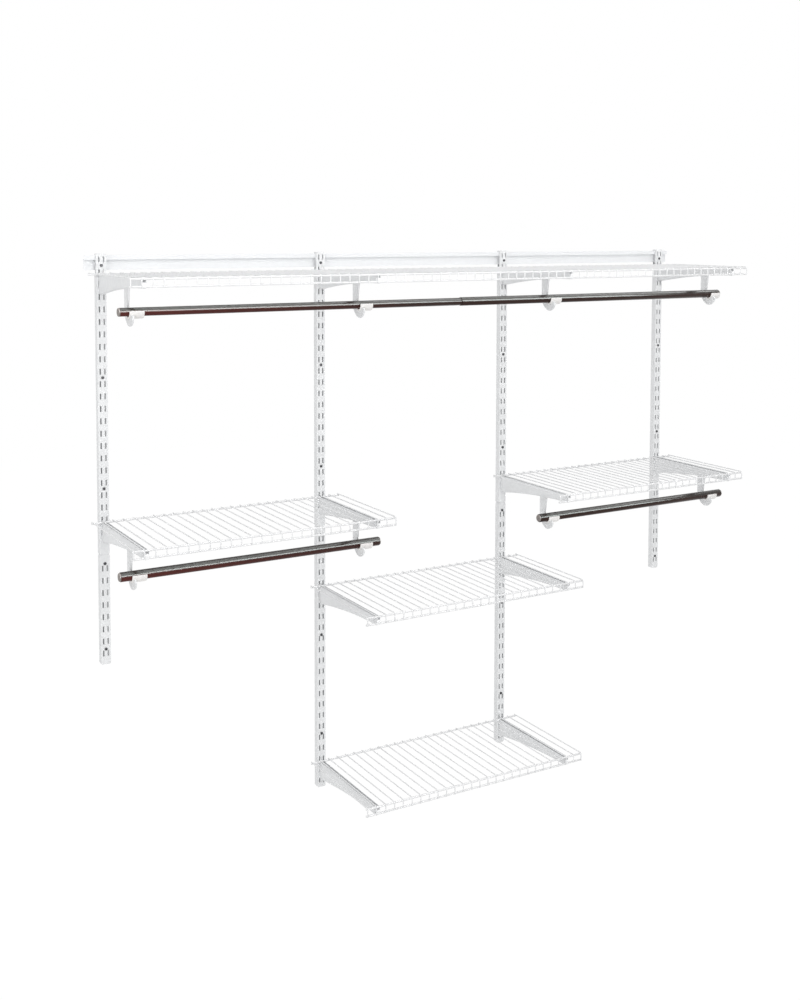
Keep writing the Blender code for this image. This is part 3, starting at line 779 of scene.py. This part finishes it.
bpy.ops.object.select_all(action="DESELECT")
bpy.ops.mesh.primitive_plane_add(
    size=1,
    location=((SADDLE_RIGHT - SADDLE_LEFT) / 2, SADDLE_BORE + SADDLE_WALL / 2, 0),
)
saddle = bpy.context.active_object
saddle.scale = (SADDLE_LEFT + SADDLE_RIGHT, SADDLE_WALL, 1)
bpy.ops.object.transform_apply(location=True, rotation=True, scale=True)
bpy.ops.object.mode_set(mode="EDIT")
bpy.ops.mesh.select_all(action="SELECT")
bpy.ops.transform.rotate(
    value=-math.radians(SADDLE_START_DEG), orient_axis="X", center_override=(0, 0, 0)
)
bpy.ops.mesh.spin(
    steps=SADDLE_STEPS, angle=math.radians(-SADDLE_TURN_DEG), center=(0, 0, 0), axis=(1, 0, 0)
)
bpy.ops.object.mode_set(mode="OBJECT")
add_ease(saddle, SADDLE_EASE, segments=3)
settle(saddle)

white_plastic = coated(
    "warm_white_plastic", pale=(0.86, 0.845, 0.83, 1), deep=(0.82, 0.80, 0.785, 1),
    pebble_scale=1400.0, smoothest=0.38, roughest=0.5, bump=0.15,
    Specular_IOR_Level=PAINT_GLOSS,
)
for node_name in nodes_with("_rod_saddle_"):
    low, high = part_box(node_name)
    label = node_name.split("_")[0]
    tube_low, tube_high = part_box(f"{label}_rod_outer")
    at = Vector((low.x + SADDLE_LEFT, rod_y, (tube_low.z + tube_high.z) / 2))
    piece = copy_of(saddle, node_name.replace("saddle", "trough"), at)
    dress(piece, white_plastic, "wall_frame", "white_plastic", node_name)
bpy.data.objects.remove(saddle, do_unlink=True)


# The clothes rods. Two thin steel tubes each, one sliding inside the other, with a dark
# bronze lacquer whose colour runs from burgundy at the left to browner at the right, with a
# painted reflection that greys it where it faces up. Plastic caps close the ends.
TUBE_WALL = 0.0009
BURGUNDY = (0.084, 0.013, 0.010, 1)
BURGUNDY_DEEP = (0.066, 0.009, 0.007, 1)
BROWN = (0.030, 0.009, 0.006, 1)
BROWN_DEEP = (0.020, 0.006, 0.004, 1)
BURGUNDY_UP_TO = -0.85
BROWN_FROM = -0.15
# Painted reflection: the grey that the rods' upward faces are painted with.
PAINTED_REFLECTION_GREY = (0.036, 0.028, 0.025, 1)
PAINTED_REFLECTION_GREY_DEEP = (0.026, 0.019, 0.017, 1)
PAINTED_REFLECTION_FROM = 0.45
GREEN_SHEEN = (0.89, 1.0, 0.98, 1)
ROD_SIDES = 48
RIM_EASE = 0.0003
CAP_FLANGE = 0.003
CAP_PLUG = 0.010
CAP_ROOM = 0.0003
CAP_ROUND = 0.0014
CAP_SHARE = 0.88


def tube(node_name, radius):
    """A tube in the place of a CAD tube, with eased rims."""
    low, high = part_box(node_name)
    middle = (low + high) / 2
    length = high.x - low.x
    piece = cylinder_along_x(radius, length, middle, ROD_SIDES)
    bpy.ops.object.mode_set(mode="EDIT")
    pick("faces", lambda at: abs(at.x - middle.x) > length / 2 - RIM_EASE)
    bpy.ops.mesh.inset(thickness=TUBE_WALL, use_individual=True)
    bpy.ops.mesh.delete(type="FACE")
    bpy.ops.mesh.select_mode(type="EDGE")
    bpy.ops.mesh.select_non_manifold()
    bpy.ops.mesh.bridge_edge_loops()
    bpy.ops.mesh.select_all(action="SELECT")
    bpy.ops.mesh.normals_make_consistent(inside=False)
    bpy.ops.object.mode_set(mode="OBJECT")
    add_ease(piece, RIM_EASE)
    piece.name = node_name + "_tube"
    piece.data.name = piece.name
    return settle(piece)


def end_cap(node_name, bore, side):
    """A cap in the place of a CAD cap; side is 1 where its flange faces +X."""
    low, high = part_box(node_name)
    middle = (low + high) / 2
    radius = (high.z - low.z) / 2 * CAP_SHARE
    flange = high.x - CAP_FLANGE / 2 if side > 0 else low.x + CAP_FLANGE / 2
    piece = cylinder_along_x(radius, CAP_FLANGE, (flange, middle.y, middle.z), ROD_SIDES)
    bpy.ops.object.mode_set(mode="EDIT")
    pick("faces", lambda at: (at.x - flange) * side < -CAP_FLANGE / 4)
    bpy.ops.mesh.inset(thickness=radius - bore)
    bpy.ops.mesh.extrude_region_move(
        TRANSFORM_OT_translate={"value": (-side * CAP_PLUG, 0, 0)}
    )
    pick("faces", lambda at: (at.x - flange) * side > CAP_FLANGE / 4)
    bpy.ops.mesh.bevel(offset=CAP_ROUND, segments=4, affect="EDGES")
    piece.name = node_name.replace("rod_cap", "rod_end")
    piece.data.name = piece.name
    return settle(piece)


bronze = coated(
    "bronze_lacquer", BURGUNDY, BURGUNDY_DEEP,
    pebble_scale=900.0, smoothest=0.16, roughest=0.24, bump=0.1,
    Specular_IOR_Level=0.20, Specular_Tint=GREEN_SHEEN,
)
tree = bronze.node_tree
layer = tree.nodes["Group"]
place = tree.nodes["Texture Coordinate"].outputs["Object"]
along = add_node(tree, "SeparateXYZ", {"Vector": place})
brown_share = add_node(
    tree,
    "MapRange",
    {"Value": along.outputs["X"], "From Min": BURGUNDY_UP_TO, "From Max": BROWN_FROM},
)
# Painted reflection: faces that point up are painted greyer.
surface = add_node(tree, "NewGeometry")
upward = add_node(tree, "SeparateXYZ", {"Vector": surface.outputs["Normal"]})
painted_reflection_share = add_node(
    tree, "MapRange", {"Value": upward.outputs["Z"], "From Min": 0.0, "From Max": PAINTED_REFLECTION_FROM}
)
for socket, left_colour, right_colour, painted_reflection_colour in (
    ("Pale", BURGUNDY, BROWN, PAINTED_REFLECTION_GREY),
    ("Deep", BURGUNDY_DEEP, BROWN_DEEP, PAINTED_REFLECTION_GREY_DEEP),
):
    turned = add_node(
        tree, "Mix", {0: brown_share.outputs[0], 6: left_colour, 7: right_colour}, data_type="RGBA"
    )
    with_painted_reflection = add_node(
        tree,
        "Mix",
        {0: painted_reflection_share.outputs[0], 6: turned.outputs[2], 7: painted_reflection_colour},
        data_type="RGBA",
    )
    tree.links.new(with_painted_reflection.outputs[2], layer.inputs[socket])
cap_plastic = coated(
    "beige_cap_plastic", pale=(0.25, 0.225, 0.21, 1), deep=(0.19, 0.17, 0.16, 1),
    pebble_scale=1100.0, smoothest=0.4, roughest=0.55, bump=0.2,
    Specular_IOR_Level=0.32,
)
for label in ("top", "left", "right"):
    low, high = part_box(f"{label}_rod_outer")
    wide = (high.z - low.z) / 2
    low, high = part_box(f"{label}_rod_inner")
    narrow = (high.z - low.z) / 2
    thin_body = f"{label}_rod_thin_tube"
    piece = tube(f"{label}_rod_outer", wide)
    dress(piece, bronze, "wall_frame", "bronze_metal", f"{label}_rod_outer")
    piece = tube(f"{label}_rod_inner", narrow)
    dress(piece, bronze, thin_body, "bronze_metal", f"{label}_rod_inner")
    piece = end_cap(f"{label}_rod_cap_right", wide - TUBE_WALL - CAP_ROOM, 1)
    dress(piece, cap_plastic, "wall_frame", "cap_plastic", f"{label}_rod_cap_right")
    piece = end_cap(f"{label}_rod_cap_left", narrow - TUBE_WALL - CAP_ROOM, -1)
    dress(piece, cap_plastic, thin_body, "cap_plastic", f"{label}_rod_cap_left")


# The wall screws. Steel pan heads with a cross recess, driven through the web between
# the two columns of slots, a few to each upright piece.
SCREW_HEIGHTS = (-0.0063, -0.2763, -0.5463, -0.7302)
SHORT_SCREWS = (-0.9413,)
LONG_SCREWS = (-1.0020, -1.2720)
WEB_FACE = -0.0170
SCREW_RADIUS = 0.0037
SCREW_SIDES = 24
HEAD_HEIGHT = 0.0022
HEAD_ROUND = 0.0010
SHANK_RADIUS = 0.0019
SHANK_LENGTH = 0.0160
RECESS_SIZE = (0.0040, 0.0020, 0.0009)

bpy.ops.object.select_all(action="DESELECT")
bpy.ops.mesh.primitive_cylinder_add(
    vertices=SCREW_SIDES,
    radius=SCREW_RADIUS,
    depth=HEAD_HEIGHT,
    location=(0, WEB_FACE - HEAD_HEIGHT / 2, 0),
    rotation=(math.radians(90), 0, 0),
)
screw = bpy.context.active_object
bpy.ops.object.mode_set(mode="EDIT")
pick("faces", lambda at: at.y < WEB_FACE - 0.75 * HEAD_HEIGHT)
bpy.ops.mesh.bevel(offset=HEAD_ROUND, segments=3, affect="EDGES")
pick("faces", lambda at: at.y > WEB_FACE - HEAD_HEIGHT / 20)
bpy.ops.mesh.inset(thickness=SCREW_RADIUS - SHANK_RADIUS)
bpy.ops.mesh.extrude_region_move(TRANSFORM_OT_translate={"value": (0, SHANK_LENGTH, 0)})
settle(screw)
bpy.ops.object.select_all(action="DESELECT")
bpy.ops.mesh.primitive_cube_add(size=1, location=(0, WEB_FACE - RECESS_SIZE[1], 0))
recess = bpy.context.active_object
recess.scale = RECESS_SIZE
bpy.ops.object.transform_apply(location=False, rotation=False, scale=True)
for turn in (0, 90):
    recess.rotation_euler = (0, math.radians(turn), 0)
    bpy.context.view_layer.update()
    cut = screw.modifiers.new("recess", "BOOLEAN")
    cut.operation = "DIFFERENCE"
    cut.object = recess
    choose(screw)
    bpy.ops.object.modifier_apply(modifier=cut.name)
bpy.data.objects.remove(recess, do_unlink=True)
screw_steel = coated(
    "dark_zinc_steel", pale=(0.05, 0.05, 0.053, 1), deep=(0.03, 0.03, 0.033, 1),
    pebble_scale=2200.0, smoothest=0.45, roughest=0.6, bump=0.1,
    Metallic=0.3, Specular_IOR_Level=0.12,
)
screw.data.materials.append(screw_steel)
places = []
for index in UPRIGHT_NUMBERS:
    low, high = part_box(f"upright_upper_{index}")
    more = LONG_SCREWS if index in (2, 3) else SHORT_SCREWS
    places += [((low.x + high.x) / 2, 0, z) for z in (*SCREW_HEIGHTS, *more)]
for count, place in enumerate(places, start=1):
    piece = copy_of(screw, f"wall_screw_{count}", place)
    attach(piece, "wall_frame")
bpy.data.objects.remove(screw, do_unlink=True)
